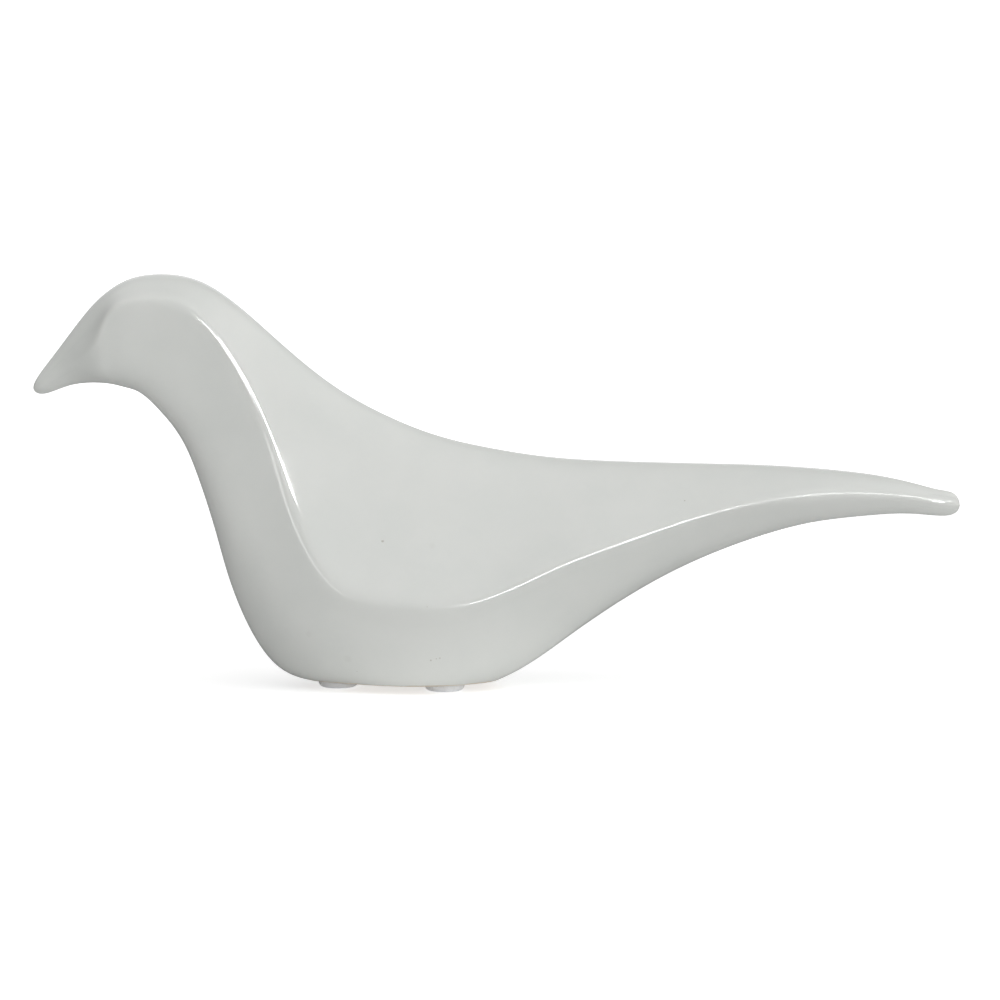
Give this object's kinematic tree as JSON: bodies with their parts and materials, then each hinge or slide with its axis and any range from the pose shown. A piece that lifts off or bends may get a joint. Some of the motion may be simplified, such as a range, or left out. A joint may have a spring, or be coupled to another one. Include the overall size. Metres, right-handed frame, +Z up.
{
  "type": "bird sculpture",
  "caption": "Stylised dove in side view, slip cast in ceramic with a smooth white glaze, with a long tapering tail and small bumper feet under its flat base.",
  "frame": {"origin": "on the surface that the feet stand on, below the middle of the bird's length", "axes": "the bird faces -X with its tail towards +X, +Y is across it, +Z is up"},
  "size_m": [0.2904, 0.06, 0.13],
  "materials": {
    "white_glaze": "smooth glossy white glaze with a slight green-grey cast, over an unglazed flat base",
    "clear_rubber": "milky translucent bumper rubber"
  },
  "bodies": {
    "root": {"bird": "white_glaze", "foot_pad_front": "clear_rubber", "foot_pad_rear_left": "clear_rubber", "foot_pad_rear_right": "clear_rubber"}
  },
  "joints": []
}
